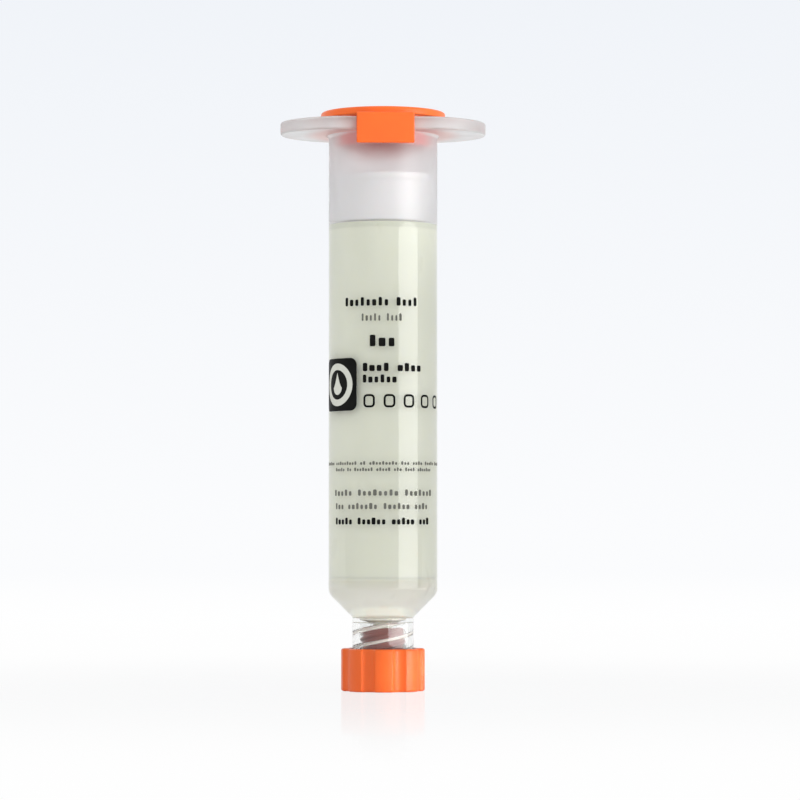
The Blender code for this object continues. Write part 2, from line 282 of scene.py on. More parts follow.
def mesh_piece(name, vertices, faces, material):
    """A smooth piece from points and faces. Where the volume inside, a sixth of the sum of
    a . (b x c) over its triangles, comes out negative, every face is turned round."""
    mesh = bpy.data.meshes.new(name)
    mesh.from_pydata(np.asarray(vertices).reshape(-1, 3).tolist(), [], faces)
    mesh.calc_loop_triangles()
    corners = np.empty(3 * len(mesh.loop_triangles), np.int32)
    mesh.loop_triangles.foreach_get("vertices", corners)
    a, b, c = np.moveaxis(np.asarray(vertices).reshape(-1, 3)[corners.reshape(-1, 3)], 1, 0)
    if (a * np.cross(b, c)).sum() < 0:
        mesh.flip_normals()
    mesh.materials.append(material)
    mesh.shade_smooth()
    mesh.update()
    return put(name, mesh)


def give_faces(piece, materials, index):
    """Adds materials to a piece, and gives each face the one that its index says."""
    for material in materials:
        piece.data.materials.append(material)
    piece.data.polygons.foreach_set("material_index", np.asarray(index, np.int32).reshape(-1))


def grid_object(name, points, material, ring=False):
    """A piece of quads between neighbours of a grid whose last column meets its first.

    In a ring the last row meets the first. Otherwise each end row is closed by a fan round the
    mean of its points."""
    rows, columns = points.shape[:2]
    index = np.arange(rows * columns).reshape(rows, columns)
    above = index if ring else index[:-1]
    below = np.roll(index, -1, axis=0) if ring else index[1:]
    quads = np.stack(
        (above, below, np.roll(below, -1, axis=1), np.roll(above, -1, axis=1)), axis=-1
    ).reshape(-1, 4)
    vertices = points.reshape(-1, 3)
    faces = quads.tolist()
    if not ring:
        poles = np.stack((points[0].mean(0), points[-1].mean(0)))
        top, bottom = len(vertices), len(vertices) + 1
        first, last = index[0], index[-1]
        fan = np.stack((np.full(columns, top), first, np.roll(first, -1)), axis=-1)
        foot = np.stack((np.full(columns, bottom), np.roll(last, -1), last), axis=-1)
        vertices = np.concatenate((vertices, poles))
        faces += fan.tolist() + foot.tolist()
    return mesh_piece(name, vertices, faces, material)


def smooth_step(x):
    """Rises from 0 at 0 to 1 at 1 as x * x * (3 - 2 x)."""
    x = np.clip(x, 0, 1)
    return x * x * (3 - 2 * x)


def helix_ridge(angle, height, crossing, low, high):
    """How far a double-start ridge stands up, from 0 to 1, at angles and heights.

    The ridges climb by the lead in one turn and cross the front at one height. Beside a ridge's
    middle the profile is flat as wide as the crest, then falls smoothly to the root's width. It
    fades towards both ends of the thread."""
    pitch = THREAD_LEAD / THREAD_STARTS
    climb = THREAD_LEAD * (angle + math.pi / 2) / (2 * math.pi)
    offset = (height - crossing - climb) / pitch
    offset = np.abs(offset - np.round(offset)) * pitch
    flank = (RIDGE_ROOT / 2 - offset) / (RIDGE_ROOT / 2 - RIDGE_CREST / 2)
    fade = smooth_step(np.minimum(height - low, high - height) / RIDGE_FADE)
    return smooth_step(flank) * fade


def tip_radius(height):
    """Outer radius of the luer tip, which widens upwards from its end."""
    return TIP_END_RADIUS + TIP_TAPER * (height - TIP_Z)


def flange_columns(columns):
    """Angles that crowd towards the four corners where the flats cut the ellipse, as
    t - 0.08 sin(2 pi t) along each span between corners."""
    corner_x = FLANGE_REACH * math.sqrt(1 - (FLANGE_FLAT / FLANGE_BREADTH) ** 2)
    corner = math.atan2(FLANGE_FLAT, corner_x)
    starts = np.array([-corner, corner, math.pi - corner, math.pi + corner])
    ends = np.array([corner, math.pi - corner, math.pi + corner, 2 * math.pi - corner])
    t = np.linspace(0, 1, columns // 4, endpoint=False)
    t = t - 0.08 * np.sin(2 * math.pi * t)
    return (starts[:, None] + (ends - starts)[:, None] * t).reshape(-1)


def flange_outline(angle):
    """Distance of the flange's rim from the axis: the smaller of an ellipse's and a flat's,
    blended over a short round where they meet."""
    spokes = np.hypot(FLANGE_BREADTH * np.cos(angle), FLANGE_REACH * np.sin(angle))
    ellipse = FLANGE_REACH * FLANGE_BREADTH / spokes
    flat = FLANGE_FLAT / np.maximum(np.abs(np.sin(angle)), 1e-3)
    near = np.maximum(RIM_BLEND - np.abs(ellipse - flat), 0) / RIM_BLEND
    return np.minimum(ellipse, flat) - near * near * RIM_BLEND / 4


def flute_columns(arc_steps, lobe_steps):
    """Angles that crowd at the flutes' sharp edges: for each flute its arc, and its lobe with
    spans that grow away from the edges as sin(pi t / 2) squared."""
    pitch = 2 * math.pi / CAP_FLUTES
    edge = FLUTE_HALF_WIDTH / CAP_RADIUS
    arc = edge * np.sin(np.linspace(-math.pi / 2, math.pi / 2, arc_steps, endpoint=False))
    t = np.linspace(0, 1, lobe_steps, endpoint=False)
    lobe = edge + (pitch - 2 * edge) * np.sin(math.pi / 2 * t) ** 2
    starts = FLUTE_TURN - math.pi / 2 + pitch * np.arange(CAP_FLUTES)
    return (starts[:, None] + np.concatenate((arc, lobe))).reshape(-1)


def fluted_outline(angle):
    """Radius of the tip cap: a lobe, CAP_RADIUS less a crown that grows towards the flutes, or
    the flute's circle where that is smaller. The circle runs through the flute's two edges and
    its depth, so its radius is (w * w + h * h) / 2h. A short blend rounds the edges."""
    pitch = 2 * math.pi / CAP_FLUTES
    from_flute = (angle - FLUTE_TURN + math.pi / 2) / pitch
    from_flute = np.abs(from_flute - np.round(from_flute)) * pitch
    lobe = CAP_RADIUS - LOBE_CROWN * np.cos(math.pi * from_flute / pitch) ** 2
    width, depth = FLUTE_HALF_WIDTH, FLUTE_DEPTH - LOBE_CROWN
    round_radius = (width * width + depth * depth) / (2 * depth)
    across = np.minimum(CAP_RADIUS * from_flute, round_radius * 0.999)
    fall = np.sqrt(round_radius**2 - across**2) - (round_radius - depth)
    flute = CAP_RADIUS - LOBE_CROWN - fall
    near = np.maximum(FLUTE_BLEND - np.abs(lobe - flute), 0) / FLUTE_BLEND
    return np.minimum(lobe, flute) - near * near * FLUTE_BLEND / 4


def make_barrel(collar_plastic, tube_plastic, frosted_plastic, flange_plastic, milky_highlight_plastic):
    """The barrel's profile carried round the axis. Rows on the flange's rim move out to its
    outline, and rows in the collar move in by the thread's ridge. Each face has the plastic of
    its zone: collar, tube, frosted tube, flange with its painted glow, or the milky ridge crest
    with its painted cream highlight."""
    neck_run = (BARREL_RADIUS - COLLAR_RADIUS) * math.tan(CONE_SLOPE)
    cone_run = (BORE_RADIUS - FLOOR_RADIUS) * math.tan(CONE_SLOPE)
    path = filleted([
        (RIM_MARK, FLANGE_TOP_Z, 0.0004),
        (RIM_MARK, FLANGE_BOTTOM_Z, 0.0004),
        (BARREL_RADIUS, FLANGE_BOTTOM_Z, 0.0006),
        (BARREL_RADIUS, NECK_Z + neck_run, 0.0022),
        (COLLAR_RADIUS, NECK_Z, 0.0003),
        (COLLAR_RADIUS, COLLAR_Z, 0.0002),
        (THREAD_RADIUS, COLLAR_Z, 0.0001),
        (THREAD_RADIUS, CEILING_Z, 0.00015),
        (tip_radius(CEILING_Z), CEILING_Z, 0.0002),
        (TIP_END_RADIUS, TIP_Z, 0.00025),
        (ORIFICE_RADIUS, TIP_Z, 0.0001),
        (ORIFICE_RADIUS, WELL_Z - WELL_FALL, 0.0003),
        (WELL_RADIUS, WELL_Z, 0.0002),
        (WELL_RADIUS, FLOOR_Z, 0.0003),
        (FLOOR_RADIUS, FLOOR_RIM_Z, 0.0006),
        (FLOOR_RADIUS, THROAT_Z, 0.0009),
        (BORE_RADIUS, THROAT_Z + cone_run, 0.001),
        (BORE_RADIUS, FLANGE_TOP_Z - 0.0004, 0.0002),
        (BORE_RADIUS + 0.0004, FLANGE_TOP_Z, 0.0002),
    ], closed=True)
    path = with_rows_between(path, THREAD_RADIUS, COLLAR_Z, CEILING_Z, THREAD_ROWS)
    path = with_rows_at(path, FROST_Z)
    angle = flange_columns(BARREL_COLUMNS)
    height = path[:, 1:]
    on_rim = path[:, :1] > RIM_MARK - RIM_CORNER
    radius = path[:, :1] + on_rim * (flange_outline(angle) - RIM_MARK)
    in_collar = (np.abs(path[:, :1] - THREAD_RADIUS) < SLACK) & (height < CEILING_Z)
    ridge = in_collar * helix_ridge(angle, height, RIDGE_CROSSING, COLLAR_Z, CEILING_Z)
    radius = radius - RIDGE_HEIGHT * ridge
    points = turned(radius, path[:, 1], angle)
    barrel = grid_object("clear_barrel", points, collar_plastic, ring=True)
    row_height = (path[:, 1] + np.roll(path[:, 1], -1)) / 2
    zone = (row_height > NECK_Z).astype(np.int32) + (row_height > FROST_Z)
    zone = zone + (row_height > FLANGE_BOTTOM_Z - SLACK)
    face_ridge = ridge + np.roll(ridge, -1, axis=0)
    face_ridge = (face_ridge + np.roll(face_ridge, -1, axis=1)) / 4
    # The milky crest faces also carry a painted cream highlight.
    zone = np.where(face_ridge > MILKY_HIGHLIGHT_RIDGE, 4, zone[:, None])
    give_faces(barrel, (tube_plastic, frosted_plastic, flange_plastic, milky_highlight_plastic), zone)
    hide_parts("barrel")
    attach(barrel, "barrel")


def nose_path(clear=0.0, steps=14):
    """The piston's nose from its rim to its flat end, a quarter of an ellipse cut short:
    radius falls evenly while depth grows as the sine."""
    share = np.linspace(0, 1, steps)
    radius = NOSE_RIM + (NOSE_RADIUS - NOSE_RIM) * share + clear
    height = PISTON_Z - NOSE_DEPTH * np.sin(share * math.pi / 2) - clear
    return np.stack((radius, height), axis=1)


def make_flux(material):
    """The paste's profiles carried round the axis, in two pieces. The column is a sleeve whose
    inside is just wider than the piston's nose, so that it can shorten as the piston comes
    down. The cone fills the barrel's end, and has a hollow for the nose at its lowest. The
    column reaches into the barrel's wall by WETTED, and the cone by up to twice that."""
    side = BORE_RADIUS + WETTED
    inside = LIP_RADIUS - 0.0004
    foot = SLEEVE_Z
    top = PISTON_Z - NOSE_GAP
    angle = even_turn(PASTE_COLUMNS)
    sleeve = filleted([
        (inside, top, 0.0001),
        (side, top, 0.0002),
        (side, foot, 0.00002),
        (inside, foot, 0.00002),
    ], closed=True)
    column = grid_object("flux_column", turned(sleeve[:, 0], sleeve[:, 1], angle), material, True)
    store_depth(column, np.repeat(PISTON_Z - sleeve[:, 1], len(angle)))
    lowest = PISTON_Z - PISTON_STROKE
    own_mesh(column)
    cone_run = (BORE_RADIUS - FLOOR_RADIUS) * math.tan(CONE_SLOPE)
    lift = -WETTED / math.cos(CONE_SLOPE)
    hollow = nose_path(clear=NOSE_GAP)[::-1] - (0, PISTON_STROKE)
    outside = filleted([
        (hollow[-1, 0], hollow[-1, 1], 0.0),
        (side - 0.00001, lowest - PASTE_SEAT, 0.0001),
        (side - 0.00001, THROAT_Z + cone_run + lift, 0.001),
        (FLOOR_RADIUS + WETTED, THROAT_Z + lift, 0.0009),
        (FLOOR_RADIUS + WETTED, FLOOR_RIM_Z + lift, 0.0006),
        (WELL_RADIUS + WETTED, FLOOR_Z + lift, 0.0003),
        (WELL_RADIUS + WETTED, WELL_Z + lift, 0.0002),
        (ORIFICE_RADIUS + WETTED, WELL_Z - WELL_FALL + lift, 0.0003),
        (ORIFICE_RADIUS + WETTED, TIP_Z + 0.0003, 0.0003),
        (0.0003, TIP_Z + 0.0002, 0.0),
    ])
    path = np.concatenate((hollow[:-1], outside))
    cone = grid_object("flux_cone", turned(path[:, 0], path[:, 1], angle), material)
    depth = np.maximum(PISTON_Z - path[:, 1], PISTON_Z - SLEEVE_Z)
    store_depth(cone, np.repeat(depth, len(angle)))
    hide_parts("flux")
    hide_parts("flux")
    for piece in (column, cone):
        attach(piece, "barrel")


def store_depth(piece, depth):
    """Keeps each point's depth under the piston as an attribute, which places the paste's painted
    shade under the piston and its painted light in the cone.
    """
    values = np.zeros(len(piece.data.vertices), np.float32)
    values[: len(depth)] = depth
    attribute = piece.data.attributes.new("paste_depth", "FLOAT", "POINT")
    attribute.data.foreach_set("value", values)


def make_piston(material):
    """The piston's profile carried round the axis: a cup above, two lips and a nose below."""
    body = filleted([
        (0.0006, CUP_FLOOR_Z, 0.0),
        (CUP_RADIUS, CUP_FLOOR_Z, 0.0005),
        (CUP_RADIUS, PISTON_TOP_Z - LIP_TALL, 0.0004),
        (CUP_RADIUS + 0.0003, PISTON_TOP_Z, 0.0001),
        (LIP_RADIUS, PISTON_TOP_Z, 0.0003),
        (LIP_RADIUS, PISTON_TOP_Z - LIP_TALL, 0.0002),
        (WAIST_RADIUS, PISTON_TOP_Z - LIP_TALL - 0.0004, 0.0003),
        (WAIST_RADIUS, PISTON_Z + LIP_TALL + 0.0004, 0.0003),
        (LIP_RADIUS, PISTON_Z + LIP_TALL, 0.0002),
        (LIP_RADIUS, PISTON_Z, 0.0003),
        (NOSE_RIM, PISTON_Z, 0.0),
    ])
    path = np.concatenate((body[:-1], nose_path()))
    points = turned(path[:, 0], path[:, 1], even_turn(PISTON_COLUMNS))
    piston = grid_object("white_piston", points, material)
    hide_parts("piston")
    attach(piston, "piston")


def make_tip_cap(material, shaded):
    """The cap's profile carried round the axis. Rows on the skirt follow the fluted outline, and
    rows on the stem stand out by the lugs' ridge. The stem and the pocket are shaded."""
    path = filleted([
        (0.0002, STEM_Z - 0.0085, 0.0),
        (TIP_END_RADIUS + SEAT_GAP - 0.0002, TIP_Z - SEAT_GAP, 0.0001),
        (SOCKET_RADIUS, STEM_Z, 0.00015),
        (STEM_RADIUS, STEM_Z, 0.0002),
        (STEM_RADIUS, CAP_FLOOR, 0.0003),
        (POCKET_RADIUS, CAP_FLOOR, 0.0003),
        (POCKET_RADIUS, CAP_HEIGHT, 0.0002),
        (CAP_RADIUS, CAP_HEIGHT, CAP_EDGE),
        (CAP_RADIUS, 0.0, CAP_EDGE),
        (0.0016, 0.0, 0.0002),
        (0.0013, 0.0003, 0.0002),
        (0.0002, 0.0003, 0.0),
    ])
    on_stem = np.abs(path[:, 0] - STEM_RADIUS) < SLACK
    before = np.flatnonzero(on_stem & (path[:, 1] > (CAP_FLOOR + STEM_Z) / 2)).max() + 1
    stem_rows = np.linspace(STEM_Z - 0.0003, COLLAR_Z - 0.001, LUG_ROWS)
    stem = np.stack((np.full(LUG_ROWS, STEM_RADIUS), stem_rows), axis=1)
    path = np.concatenate((path[:before], stem, path[before:]))
    angle = flute_columns(14, 18)
    height = path[:, 1:]
    skirt = smooth_step((path[:, :1] - SKIRT_FROM) / SKIRT_BLEND)
    radius = path[:, :1] + skirt * (fluted_outline(angle) - CAP_RADIUS)
    half_pitch = THREAD_LEAD / THREAD_STARTS / 2
    lug = helix_ridge(angle, height, RIDGE_CROSSING + half_pitch, COLLAR_Z, STEM_Z)
    radius = radius + LUG_HEIGHT * lug * (np.abs(path[:, :1] - STEM_RADIUS) < SLACK)
    cap = grid_object("orange_tip_cap", turned(radius, path[:, 1], angle), material)
    rows = (path[:-1, 0] < POCKET_RADIUS + 2 * SLACK) & (path[:-1, 1] > CAP_FLOOR - SLACK)
    faces = np.zeros(len(cap.data.polygons), np.int32)
    faces[: rows.size * len(angle)] = np.repeat(rows, len(angle))
    give_faces(cap, (shaded,), faces)
    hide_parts("tip_cap")
    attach(cap, "tip_cap")


def make_end_cap(material, inner):
    """The disc, seat ring and plug as one profile carried round the axis, and the two clips.
    Faces of the seat ring, the plug and the disc's underside within it have the inner material, a
    pinker copy of the orange, painted as the glow of light shining through the plastic."""
    path = filleted([
        (0.0003, DISC_TOP_Z - 0.0002, 0.0),
        (0.0012, DISC_TOP_Z - 0.0002, 0.0001),
        (0.0015, DISC_TOP_Z, 0.0002),
        (DISC_RADIUS, DISC_TOP_Z, 0.0004),
        (DISC_RADIUS, DISC_Z, 0.0002),
        (RING_RADIUS, DISC_Z, 0.0001),
        (RING_RADIUS, RING_Z, 0.0001),
        (PLUG_RADIUS, RING_Z, 0.0001),
        (PLUG_RADIUS, PLUG_Z, 0.0005),
        (PLUG_RADIUS - PLUG_WALL, PLUG_Z, 0.0002),
        (PLUG_RADIUS - PLUG_WALL, DISC_Z, 0.0003),
        (0.0003, DISC_Z, 0.0),
    ])
    points = turned(path[:, 0], path[:, 1], even_turn(DISC_COLUMNS))
    cap = grid_object("orange_end_cap", points, material)
    # Painted backlight: these faces take the pinker copy of the orange.
    within = path[1:, 0] < PLUG_RADIUS - PLUG_WALL + SLACK
    rows = (path[1:, 1] < RING_Z + SLACK) | within
    rows[: np.argmax(path[:, 0] > DISC_RADIUS - 0.001)] = False
    give_faces(cap, (inner,), np.repeat(np.append(rows, (False, True)), DISC_COLUMNS))
    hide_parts("end_cap")
    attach(cap, "end_cap")
    for name, side in (("front_clip", -1), ("back_clip", 1)):
        clip = make_clip(name, side, material, inner)
        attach(clip, "end_cap")


def make_clip(name, side, material, inner):
    """A clip's section carried along X: each row is the section, drawn in towards the section's
    own middle line near the two ends by a quarter round. Faces that look at the barrel have the
    inner material, whose pinker orange is a painted backlit glow."""
    section = filleted([
        (RING_RADIUS - 0.0002, CLIP_HEAD_Z, 0.0001),
        (CLIP_OUTER, CLIP_HEAD_Z, 0.0003),
        (CLIP_OUTER, CLIP_FOOT_Z, 0.0002),
        (CLIP_INNER, CLIP_FOOT_Z, 0.0002),
        (CLIP_INNER, CLIP_FOOT_Z + 0.0008, 0.0001),
        (CLIP_RECESS, CLIP_FOOT_Z + 0.001, 0.0001),
        (CLIP_RECESS, CLIP_BRIDGE_Z, 0.0002),
        (RING_RADIUS - 0.0002, CLIP_BRIDGE_Z, 0.0001),
    ], steps=4, closed=True)
    quarter = np.linspace(0, math.pi / 2, 6)
    inset = CLIP_EDGE * (1 - np.sin(quarter))
    across = CLIP_WIDTH / 2 - CLIP_EDGE + CLIP_EDGE * np.cos(quarter)
    across = np.concatenate((across, -across[::-1]))
    inset = np.concatenate((inset, inset[::-1]))
    normal = np.roll(section, -1, axis=0) - np.roll(section, 1, axis=0)
    normal = normal / np.linalg.norm(normal, axis=1, keepdims=True)
    normal = np.stack((normal[:, 1], -normal[:, 0]), axis=1)
    moved = section[None] + inset[:, None, None] * normal[None]
    x = np.broadcast_to(across[:, None], moved.shape[:2])
    points = np.stack((x, side * moved[..., 0], moved[..., 1]), axis=-1)
    clip = grid_object(name, points, material)
    normals = np.empty(3 * len(clip.data.polygons), np.float32)
    clip.data.polygons.foreach_get("normal", normals)
    give_faces(clip, (inner,), normals.reshape(-1, 3)[:, 1] * side < -0.5)
    return clip


# Print


def on_barrel(arc, height, lift):
    """Points on the barrel: arc is the distance round it from the front, so that
    angle = arc / BARREL_RADIUS, and lift is how far the point stands off the plastic."""
    angle = arc / BARREL_RADIUS - math.pi / 2
    radius = BARREL_RADIUS + lift
    return np.stack(
        np.broadcast_arrays(radius * np.cos(angle), radius * np.sin(angle), height), axis=-1
    )


def ink_slabs(name, arc, low, high, material, layer=0):
    """Closed slabs of ink between two edges: arrays of (slab, column) arcs, low edges and high
    edges. Each column is a section of four corners, two under and two on the ink."""
    under = INK_UNDER + layer * INK_STEP
    over = under + INK_THICKNESS
    points = np.stack(
        (
            on_barrel(arc, high, over),
            on_barrel(arc, low, over),
            on_barrel(arc, low, under),
            on_barrel(arc, high, under),
        ),
        axis=2,
    )
    slabs, columns = arc.shape
    index = np.arange(slabs * columns * 4).reshape(slabs, columns, 4)
    left, right = index[:, :-1], index[:, 1:]
    sides = np.stack(
        (left, np.roll(left, -1, axis=2), np.roll(right, -1, axis=2), right), axis=-1
    )
    ends = np.concatenate((index[:, 0, ::-1], index[:, -1]))
    faces = sides.reshape(-1, 4).tolist() + ends.tolist()
    printed(mesh_piece(name, points, faces, material))


def printed(piece):
    """Printed ink is flat shaded across its sharp edges, and belongs to the barrel."""
    piece.data.shade_flat()
    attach(piece, "barrel")


def ink_blocks(name, middle, height, width, tall, corner, material):
    """Rounded blocks: half the height at x is tall / 2 - c + sqrt(c * c - e * e), where c is the
    corner's radius and e is how far x lies in the corner."""
    middle, height, width, tall = np.broadcast_arrays(middle, height, width, tall)
    count = max(6, int(width.max() / 0.0004))
    t = -np.cos(np.linspace(0, math.pi, count + 1))
    x = t * width[:, None] / 2
    corner = np.minimum(corner, 0.45 * np.minimum(width, tall))[:, None]
    into = np.maximum(np.abs(x) - (width[:, None] / 2 - corner), 0)
    half = tall[:, None] / 2 - corner + np.sqrt(np.maximum(corner**2 - into**2, 0))
    arc = middle[:, None] + x
    ink_slabs(name, arc, height[:, None] - half, height[:, None] + half, material)


def ink_line(name, left, right, height, tall, words, material, bold=0.66):
    """A line of print as rows of plain blocks, one row for each count in words with a gap as
    wide as a block between rows. Every third block is taller than its neighbours. Lengths are
    in millimetres, and bold is a block's share of its pitch."""
    left, right, height, tall = (0.001 * value for value in (left, right, height, tall))
    counts = np.asarray(words)
    starts = np.cumsum(counts + 1) - (counts + 1)
    slot = np.concatenate([start + np.arange(count) for start, count in zip(starts, counts)])
    pitch = (right - left) / (counts.sum() + len(counts) - 1)
    middle = left + (slot + 0.5) * pitch
    risen = slot % 3 == 0
    block = np.where(risen, tall, 0.74 * tall)
    centre = height - tall / 2 + block / 2
    width = pitch * np.where(slot % 4 == 1, bold + 0.12, bold)
    ink_blocks(name, middle, centre, width, block, 0.0002, material)


def ink_frame(name, middle, height, size, corner, stroke, material, layer=0):
    """A closed stroke along a rounded rectangle: its outer and inner outlines, each under and on
    the ink, as four rings of points."""
    outer = rounded_rectangle(size, corner, 96)
    inner = rounded_rectangle(
        (size[0] - 2 * stroke, size[1] - 2 * stroke), max(corner - stroke, 0.00005), 96
    )
    under = INK_UNDER + layer * INK_STEP
    over = under + INK_THICKNESS
    points = np.stack(
        [
            on_barrel(middle + outline[:, 0], height + outline[:, 1], lift)
            for outline, lift in ((outer, over), (inner, over), (inner, under), (outer, under))
        ]
    )
    printed(grid_object(name, points, material, ring=True))


def rounded_rectangle(size, corner, count):
    """Points of a rectangle with quarter rounds at its corners, evenly spaced along it."""
    width, height = size[0] / 2, size[1] / 2
    corner = min(corner, width * 0.999, height * 0.999)
    turns = np.linspace(0, math.pi / 2, 13) + np.arange(4)[:, None] * math.pi / 2
    across = np.array([1, -1, -1, 1])[:, None] * (width - corner)
    along = np.array([1, 1, -1, -1])[:, None] * (height - corner)
    path = np.stack((across + corner * np.cos(turns), along + corner * np.sin(turns)), axis=-1)
    path = path.reshape(-1, 2)
    path = np.concatenate((path, path[:1]))
    run = running_length(path)
    return read_path(path, run, np.linspace(0, run[-1], count, endpoint=False))


def ink_drop(name, middle, height, width, material, layer):
    """A drop: a half circle below, and above it an edge that rises to the tip as
    (1 - |x| / half the width) ** 1.5."""
    half = width / 2
    x = -np.cos(np.linspace(0, math.pi, 25))[None] * half * 0.999
    low = height - np.sqrt(half**2 - x**2)
    high = height + 0.02 * half + 2.1 * half * (1 - np.abs(x) / half) ** 1.5
    ink_slabs(name, middle + x, low, high, material, layer)


def make_print(black, grey, pale):
    """A plain label: lines of blocks, a badge with a ring and a drop, and five open frames."""
    mm = 0.001
    ink_line("print_title", -7.5, 5.9, 65.56, 1.45, (8, 4), black, 0.55)
    ink_line("print_subtitle", -4.2, 3.0, 62.92, 1.25, (5, 4), grey, 0.45)
    ink_line("print_grade", -2.9, 1.9, 58.97, 1.95, (3,), black, 0.6)
    badge = (-9.35 * mm, 51.7 * mm)
    ink_blocks("print_badge", *np.atleast_1d(*badge), 8.8 * mm, 8.87 * mm, 1.2 * mm, black)
    ink_frame("print_badge_ring", *badge, (7.2 * mm, 7.2 * mm), 3.6 * mm, 1.1 * mm, pale, 1)
    ink_drop("print_badge_drop", badge[0], badge[1] - 0.5 * mm, 2.4 * mm, pale, 1)
    ink_line("print_heading_top", -4.0, 6.8, 54.54, 1.4, (4, 4), black)
    ink_line("print_heading_low", -4.0, 2.1, 52.6, 1.35, (6,), black, 0.6)
    size, corner, stroke = (2.0 * mm, 2.25 * mm), 0.7 * mm, 0.36 * mm
    for place in range(5):
        middle = (-2.7 + 3.45 * place) * mm
        ink_frame(f"print_mark_{place + 1}", middle, 48.87 * mm, size, corner, stroke, black)
    ink_line("print_small_top", -13.6, 13.0, 38.45, 0.62, (6, 9, 2, 9, 3, 4, 5, 4), grey)
    ink_line("print_small_low", -9.9, 9.3, 37.4, 0.62, (5, 2, 7, 5, 3, 4, 7), grey)
    ink_line("print_row_top", -10.3, 9.6, 33.5, 1.05, (5, 8, 7), grey, 0.56)
    ink_line("print_row_middle", -10.0, 8.4, 31.24, 1.05, (3, 7, 6, 4), grey, 0.56)
    ink_line("print_row_low", -10.0, 8.7, 28.74, 1.15, (5, 6, 5, 3), black)


# Materials


def new_material(name):
    """An empty node material, with its nodes and links."""
    material = bpy.data.materials.new(name)
    material.use_nodes = True
    material.node_tree.nodes.clear()
    return material, material.node_tree.nodes, material.node_tree.links


def socket_value(links, socket, value):
    """Links an output to an input, or sets the input to a number or a colour."""
    if isinstance(value, bpy.types.NodeSocket):
        links.new(value, socket)
    else:
        socket.default_value = (*value, 1) if isinstance(value, tuple) else value


def math_node(nodes, links, operation, first, second):
    """A Math node of two outputs or numbers."""
    node = nodes.new("ShaderNodeMath")
    node.operation = operation
    socket_value(links, node.inputs[0], first)
    socket_value(links, node.inputs[1], second)
    return node.outputs["Value"]


def ramp(nodes, links, value, start, end, low, high, smooth=False):
    """A Map Range node that turns start..end into low..high, each an output or a number."""
    node = nodes.new("ShaderNodeMapRange")
    node.interpolation_type = "SMOOTHSTEP" if smooth else "LINEAR"
    settings = {"Value": value, "From Min": start, "From Max": end, "To Min": low, "To Max": high}
    for name, setting in settings.items():
        socket_value(links, node.inputs[name], setting)
    return node.outputs["Result"]


def length(nodes, links, vector):
    """How long a vector is."""
    node = nodes.new("ShaderNodeVectorMath")
    node.operation = "LENGTH"
    links.new(vector, node.inputs[0])
    return node.outputs["Value"]


def blend(nodes, links, factor, first, second, kind="MIX"):
    """A colour Mix node between two colours, each an output or three numbers."""
    node = nodes.new("ShaderNodeMix")
    node.data_type = "RGBA"
    node.blend_type = kind
    socket_value(links, node.inputs["A"], first)
    socket_value(links, node.inputs["B"], second)
    links.new(factor, node.inputs["Factor"])
    return node.outputs["Result"]


def mix_shaders(nodes, links, factor, first, second):
    """A Mix Shader node: the first shader where the factor is 0, the second where it is 1."""
    node = nodes.new("ShaderNodeMixShader")
    links.new(factor, node.inputs["Fac"])
    links.new(first, node.inputs[1])
    links.new(second, node.inputs[2])
    return node.outputs["Shader"]


def moulded_skin_group():
    """A moulded plastic's skin: cloudy colour, uneven gloss and a fine grain."""
    group = bpy.data.node_groups.new("moulded_skin", "ShaderNodeTree")
    socket = group.interface.new_socket
    socket("Vector", in_out="INPUT", socket_type="NodeSocketVector")
    for name, default in (("Colour", (0.8, 0.8, 0.8, 1)), ("Deep Colour", (0.7, 0.7, 0.7, 1))):
        socket(name, in_out="INPUT", socket_type="NodeSocketColor").default_value = default
    settings = {"Cloud Scale": 60.0, "Grain Scale": 2500.0, "Smoothest": 0.2, "Roughest": 0.3}
    for name, default in settings.items():
        socket(name, in_out="INPUT", socket_type="NodeSocketFloat").default_value = default
    for name, kind in (("Colour", "Color"), ("Roughness", "Float"), ("Height", "Float")):
        socket(name, in_out="OUTPUT", socket_type=f"NodeSocket{kind}")
    nodes, links = group.nodes, group.links
    given = nodes.new("NodeGroupInput").outputs
    made = nodes.new("NodeGroupOutput").inputs
    fields = []
    for scale, detail in (("Cloud Scale", 3.0), ("Grain Scale", 4.0)):
        noise = nodes.new("ShaderNodeTexNoise")
        noise.inputs["Detail"].default_value = detail
        links.new(given["Vector"], noise.inputs["Vector"])
        links.new(given[scale], noise.inputs["Scale"])
        fields.append(noise.outputs["Fac"])
    cloud, grain = fields
    spread = ramp(nodes, links, cloud, 0.3, 0.7, 0.0, 1.0)
    colour = blend(nodes, links, spread, given["Colour"], given["Deep Colour"])
    gloss = ramp(nodes, links, cloud, 0.35, 0.65, given["Smoothest"], given["Roughest"])
    links.new(colour, made["Colour"])
    links.new(gloss, made["Roughness"])
    links.new(grain, made["Height"])
    return group


def skin_nodes(material, skin, colour, deep, stretch=(1, 1, 1), bump=0.1, **values):
    """Places the skin group in a material: object coordinates, a Mapping that stretches them,
    the group and a Bump. Gives the group's node and the Bump's."""
    nodes, links = material.node_tree.nodes, material.node_tree.links
    where = nodes.new("ShaderNodeTexCoord")
    mapping = nodes.new("ShaderNodeMapping")
    mapping.inputs["Scale"].default_value = stretch
    placed = nodes.new("ShaderNodeGroup")
    placed.node_tree = skin
    placed.inputs["Colour"].default_value = (*colour, 1)
    placed.inputs["Deep Colour"].default_value = (*deep, 1)
    for name, value in values.items():
        placed.inputs[name.replace("_", " ").title()].default_value = value
    bumped = nodes.new("ShaderNodeBump")
    bumped.inputs["Strength"].default_value = bump
    bumped.inputs["Distance"].default_value = GRAIN_DEPTH
    links.new(where.outputs["Object"], mapping.inputs["Vector"])
    links.new(mapping.outputs["Vector"], placed.inputs["Vector"])
    links.new(placed.outputs["Height"], bumped.inputs["Height"])
    return placed, bumped


